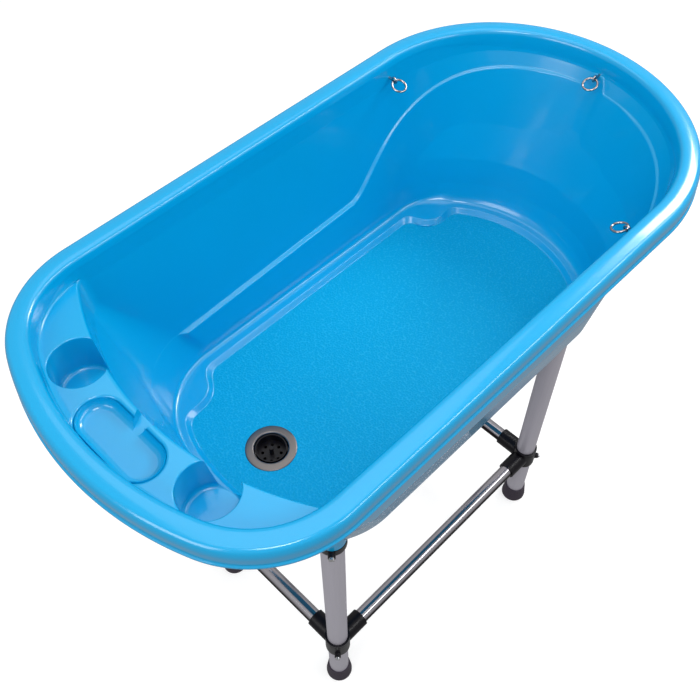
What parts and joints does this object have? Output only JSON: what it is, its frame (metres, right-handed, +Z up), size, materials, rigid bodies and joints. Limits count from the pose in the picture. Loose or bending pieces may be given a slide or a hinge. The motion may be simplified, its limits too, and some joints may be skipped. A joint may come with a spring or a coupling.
{
  "type": "pet grooming bath tub",
  "caption": "Moulded plastic pet bath tub with rolled rim, shelf, cup recesses, soap tray, drain and tether rings, on a stand of tube legs and cross bars.",
  "frame": {"origin": "on the floor, under the middle of the tub's rim", "axes": "+X along the tub from the drain end to the head end, +Y towards the tub's left wall, +Z up"},
  "size_m": [1.2699, 0.66, 1.145],
  "materials": {
    "blue_plastic": "glossy moulded polyethylene",
    "flange_steel": "brushed",
    "black_plastic": "moulded, satin",
    "gasket_rubber": "matte",
    "ring_chrome": "polished",
    "screw_steel": "bright zinc",
    "leg_aluminium": "satin anodised",
    "bar_chrome": "polished",
    "foot_rubber": "moulded, matte"
  },
  "bodies": {
    "tub_and_stand": {"tub_shell": "blue_plastic", "drain_flange": "flange_steel", "drain_gasket": "gasket_rubber", "drain_nut": "black_plastic", "drain_body": "black_plastic", "tether_washers": "ring_chrome", "tether_nuts": "ring_chrome", "collar_screws": "screw_steel", "corner_screws": "screw_steel", "bar_long_left": "bar_chrome", "bar_long_right": "bar_chrome", "bar_short_drain": "bar_chrome", "bar_short_head": "bar_chrome", "tether_bolt_head": "ring_chrome", "tether_bolt_left": "ring_chrome", "tether_bolt_right": "ring_chrome", "leg_drain_left": "leg_aluminium", "leg_drain_right": "leg_aluminium", "leg_head_left": "leg_aluminium", "leg_head_right": "leg_aluminium", "foot_drain_left": "foot_rubber", "foot_drain_right": "foot_rubber", "foot_head_left": "foot_rubber", "foot_head_right": "foot_rubber", "collar_drain_left": "black_plastic", "collar_drain_right": "black_plastic", "collar_head_left": "black_plastic", "collar_head_right": "black_plastic", "corner_drain_left": "black_plastic", "corner_drain_right": "black_plastic", "corner_head_left": "black_plastic", "corner_head_right": "black_plastic"},
    "basket": {"drain_basket": "black_plastic"},
    "ring_head": {"tether_ring_head": "ring_chrome"},
    "ring_left": {"tether_ring_left": "ring_chrome"},
    "ring_right": {"tether_ring_right": "ring_chrome"},
    "knob_drain_left": {"socket_knob_drain_left": "black_plastic"},
    "knob_drain_right": {"socket_knob_drain_right": "black_plastic"},
    "knob_head_left": {"socket_knob_head_left": "black_plastic"},
    "knob_head_right": {"socket_knob_head_right": "black_plastic"}
  },
  "joints": [
    {"name": "head_ring_swing", "type": "hinge", "parent": "tub_and_stand", "child": "ring_head", "pos_m": [0.576, 0, 1.10415], "axis": [0, 1, 0], "range_deg": [-60, 60]},
    {"name": "left_ring_swing", "type": "hinge", "parent": "tub_and_stand", "child": "ring_left", "pos_m": [0.303, 0.274, 1.10415], "axis": [-1, 0, 0], "range_deg": [-80, 60]},
    {"name": "right_ring_swing", "type": "hinge", "parent": "tub_and_stand", "child": "ring_right", "pos_m": [0.282, -0.274, 1.10415], "axis": [1, 0, 0], "range_deg": [-80, 60]},
    {"name": "basket_lift", "type": "slide", "parent": "tub_and_stand", "child": "basket", "axis": [0, 0, 1], "range_m": [0, 0.06]},
    {"name": "knob_turn_drain_left", "type": "hinge", "parent": "tub_and_stand", "child": "knob_drain_left", "pos_m": [-0.31726, 0.2024, 0.753], "axis": [0.866, 0.5, 0], "range_deg": [0, 540]},
    {"name": "knob_turn_drain_right", "type": "hinge", "parent": "tub_and_stand", "child": "knob_drain_right", "pos_m": [-0.31726, -0.2024, 0.753], "axis": [0.866, -0.5, 0], "range_deg": [0, 540]},
    {"name": "knob_turn_head_left", "type": "hinge", "parent": "tub_and_stand", "child": "knob_head_left", "pos_m": [0.34775, 0.2024, 0.753], "axis": [0.866, 0.5, 0], "range_deg": [0, 540]},
    {"name": "knob_turn_head_right", "type": "hinge", "parent": "tub_and_stand", "child": "knob_head_right", "pos_m": [0.34775, -0.2024, 0.753], "axis": [0.866, -0.5, 0], "range_deg": [0, 540]}
  ]
}
